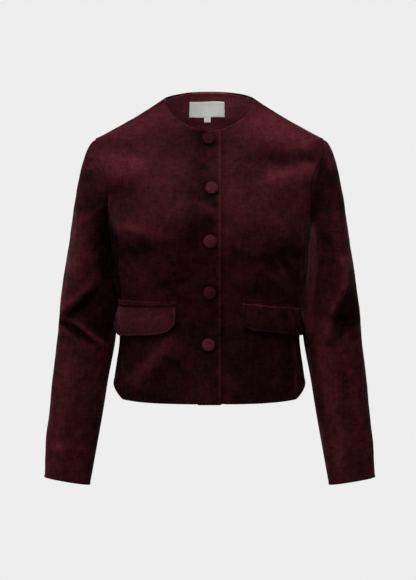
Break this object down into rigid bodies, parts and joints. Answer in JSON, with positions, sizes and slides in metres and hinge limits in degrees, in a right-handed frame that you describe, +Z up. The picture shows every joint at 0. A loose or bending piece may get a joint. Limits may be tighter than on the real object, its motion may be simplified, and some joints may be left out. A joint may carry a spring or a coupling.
{
  "type": "velveteen jacket",
  "caption": "Fitted round-neck velveteen jacket with covered buttons, flap pockets and long sleeves, filled out as when worn.",
  "frame": {"origin": "midway between the two side neck points, where the shoulder seams meet the neck and the wearer carries the jacket", "axes": "+Z up, the front faces -Y, the wearer's left is +X"},
  "size_m": [0.5808, 0.2445, 0.6863],
  "materials": {
    "velveteen": "dark burgundy cotton velveteen with a short soft pile",
    "button_cloth": "the same velveteen stretched over a button mould",
    "facing_cloth": "the same velveteen inside the neck, in shade",
    "label_weave": "pale woven satin tape, bare"
  },
  "bodies": {
    "root": {"back": "velveteen", "front_right": "velveteen", "front_left": "velveteen", "side_right": "velveteen", "side_left": "velveteen", "sleeve_right": "velveteen", "sleeve_left": "velveteen", "jet_right": "velveteen", "jet_left": "velveteen", "flap_right": "velveteen", "flap_left": "velveteen", "button_1": "button_cloth", "button_2": "button_cloth", "button_3": "button_cloth", "button_4": "button_cloth", "button_5": "button_cloth", "back_neck_facing": "facing_cloth", "neck_label": "label_weave", "size_tab": "label_weave"}
  },
  "joints": []
}
